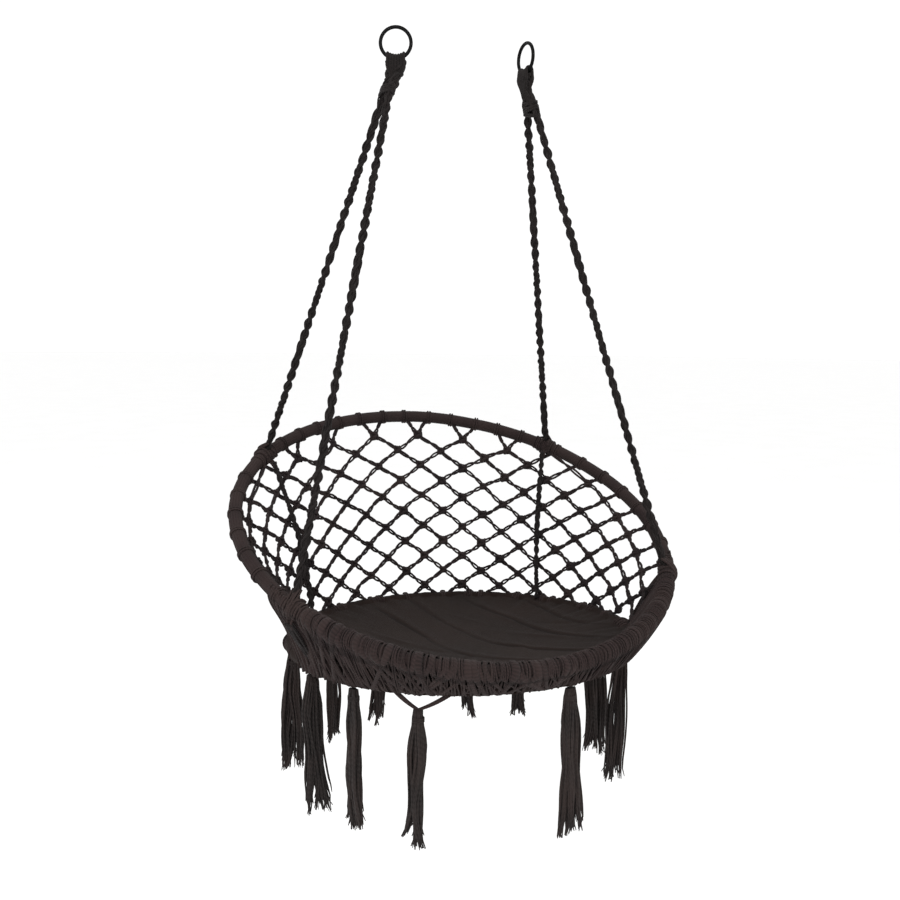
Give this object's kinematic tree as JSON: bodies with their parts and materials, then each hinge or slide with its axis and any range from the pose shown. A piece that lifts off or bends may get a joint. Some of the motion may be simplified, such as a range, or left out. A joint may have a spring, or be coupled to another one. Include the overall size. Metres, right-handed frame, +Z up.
{
  "type": "hanging net chair",
  "caption": "Knotted net hanging chair: tilted back hoop and level seat hoop on plaited ropes from two rings, with a cloth seat and tassels.",
  "frame": {"origin": "hanging point: midway between the two hooks, level with the inner top of both hanging rings", "axes": "+Z up, the sitter faces -Y, +X to the right of someone looking along +Y at the front"},
  "size_m": [0.8108, 0.7388, 1.3493],
  "materials": {
    "ring_steel": "satin",
    "hoop_steel": "satin",
    "plaited_rope": "matte",
    "wrap_cord": "matte",
    "net_cord": "matte",
    "seat_canvas": "matte",
    "tassel_yarn": "matte"
  },
  "bodies": {
    "left_ring": {"left_hanging_ring": "ring_steel", "left_ring_loops": "plaited_rope"},
    "chair_frame": {"left_neck_binding": "plaited_rope", "right_neck_binding": "plaited_rope", "rope_front_left": "plaited_rope", "rope_front_right": "plaited_rope", "rope_rear_left": "plaited_rope", "rope_rear_right": "plaited_rope", "tie_front_left": "wrap_cord", "tie_front_right": "wrap_cord", "tie_rear_left": "wrap_cord", "tie_rear_right": "wrap_cord", "lower_rope_front_left": "plaited_rope", "lower_rope_front_right": "plaited_rope", "lower_rope_rear_left": "plaited_rope", "lower_rope_rear_right": "plaited_rope", "back_hoop_tube": "hoop_steel", "back_hoop_wrap": "wrap_cord", "back_hoop_loops": "wrap_cord", "net_panel_1": "net_cord", "net_panel_2": "net_cord", "net_panel_3": "net_cord", "net_panel_4": "net_cord", "net_panel_5": "net_cord", "net_panel_6": "net_cord", "net_panel_7": "net_cord", "net_panel_8": "net_cord", "front_lashing": "wrap_cord"},
    "right_ring": {"right_hanging_ring": "ring_steel", "right_ring_loops": "plaited_rope"},
    "seat": {"seat_hoop_tube": "hoop_steel", "seat_hoop_wrap": "wrap_cord", "seat_hoop_loops": "wrap_cord", "seat_cloth": "seat_canvas", "seat_hem": "seat_canvas", "tassel_ties": "wrap_cord", "swag_cords": "wrap_cord", "foot_tie_front_left": "wrap_cord", "foot_tie_front_right": "wrap_cord", "foot_tie_rear_left": "wrap_cord", "foot_tie_rear_right": "wrap_cord"},
    "tassel_rear_side_left": {"tassel_rear_side_left": "tassel_yarn"},
    "tassel_front_side_left": {"tassel_front_side_left": "tassel_yarn"},
    "tassel_front_left": {"tassel_front_left": "tassel_yarn"},
    "tassel_front_middle": {"tassel_front_middle": "tassel_yarn"},
    "tassel_front_right": {"tassel_front_right": "tassel_yarn"},
    "tassel_front_side_right": {"tassel_front_side_right": "tassel_yarn"},
    "tassel_rear_side_right": {"tassel_rear_side_right": "tassel_yarn"},
    "tassel_rear_right": {"tassel_rear_right": "tassel_yarn"},
    "tassel_rear_middle_right": {"tassel_rear_middle_right": "tassel_yarn"},
    "tassel_rear_middle_left": {"tassel_rear_middle_left": "tassel_yarn"},
    "tassel_rear_left": {"tassel_rear_left": "tassel_yarn"}
  },
  "joints": [
    {"name": "swing", "type": "hinge", "parent": "left_ring", "child": "chair_frame", "pos_m": [0, 0, -0.07], "axis": [1, 0, 0], "range_deg": [-30, 30]},
    {"name": "right_ring_turn", "type": "hinge", "parent": "chair_frame", "child": "right_ring", "pos_m": [0, 0, -0.07], "axis": [1, 0, 0], "range_deg": [-30, 30]},
    {"name": "seat_fold", "type": "hinge", "parent": "chair_frame", "child": "seat", "pos_m": [0, -0.33275, -1.01588], "axis": [1, 0, 0], "range_deg": [0, 27], "deforming": ["net_panel_1", "net_panel_2", "net_panel_3", "net_panel_4", "net_panel_5", "net_panel_6", "net_panel_7", "net_panel_8", "lower_rope_front_left", "lower_rope_front_right", "lower_rope_rear_left", "lower_rope_rear_right", "front_lashing"]},
    {"name": "tassel_rear_side_left_swing", "type": "hinge", "parent": "seat", "child": "tassel_rear_side_left", "pos_m": [-0.29231, 0.04142, -1.0644], "axis": [-0.225, -0.9744, 0], "range_deg": [-25, 25]},
    {"name": "tassel_front_side_left_swing", "type": "hinge", "parent": "seat", "child": "tassel_front_side_left", "pos_m": [-0.29231, -0.09341, -1.05828], "axis": [0.225, -0.9744, 0], "range_deg": [-25, 25]},
    {"name": "tassel_front_left_swing", "type": "hinge", "parent": "seat", "child": "tassel_front_left", "pos_m": [-0.25017, -0.19141, -1.05383], "axis": [0.5519, -0.8339, 0], "range_deg": [-25, 25]},
    {"name": "tassel_front_middle_swing", "type": "hinge", "parent": "seat", "child": "tassel_front_middle", "pos_m": [-0.17207, -0.27235, -1.06917], "axis": [0.8192, -0.5736, 0], "range_deg": [-25, 25]},
    {"name": "tassel_front_right_swing", "type": "hinge", "parent": "seat", "child": "tassel_front_right", "pos_m": [0.06237, -0.31914, -1.04803], "axis": [0.9781, 0.2079, 0], "range_deg": [-25, 25]},
    {"name": "tassel_front_side_right_swing", "type": "hinge", "parent": "seat", "child": "tassel_front_side_right", "pos_m": [0.29231, -0.09341, -1.05828], "axis": [0.225, 0.9744, 0], "range_deg": [-25, 25]},
    {"name": "tassel_rear_side_right_swing", "type": "hinge", "parent": "seat", "child": "tassel_rear_side_right", "pos_m": [0.29631, 0.02089, -1.06347], "axis": [-0.1564, 0.9877, 0], "range_deg": [-25, 25]},
    {"name": "tassel_rear_right_swing", "type": "hinge", "parent": "seat", "child": "tassel_rear_right", "pos_m": [0.21213, 0.18592, -1.07096], "axis": [-0.7071, 0.7071, 0], "range_deg": [-25, 25]},
    {"name": "tassel_rear_middle_right_swing", "type": "hinge", "parent": "seat", "child": "tassel_rear_middle_right", "pos_m": [0.12679, 0.24561, -1.07367], "axis": [-0.9063, 0.4226, 0], "range_deg": [-25, 25]},
    {"name": "tassel_rear_middle_left_swing", "type": "hinge", "parent": "seat", "child": "tassel_rear_middle_left", "pos_m": [-0.06237, 0.26715, -1.07465], "axis": [-0.9781, -0.2079, 0], "range_deg": [-25, 25]},
    {"name": "tassel_rear_left_swing", "type": "hinge", "parent": "seat", "child": "tassel_rear_left", "pos_m": [-0.17207, 0.2195, -1.07249], "axis": [-0.8192, -0.5736, 0], "range_deg": [-25, 25]}
  ],
  "couplings": [
    {"joint": "right_ring_turn", "follows": "swing", "ratio": -1}
  ]
}
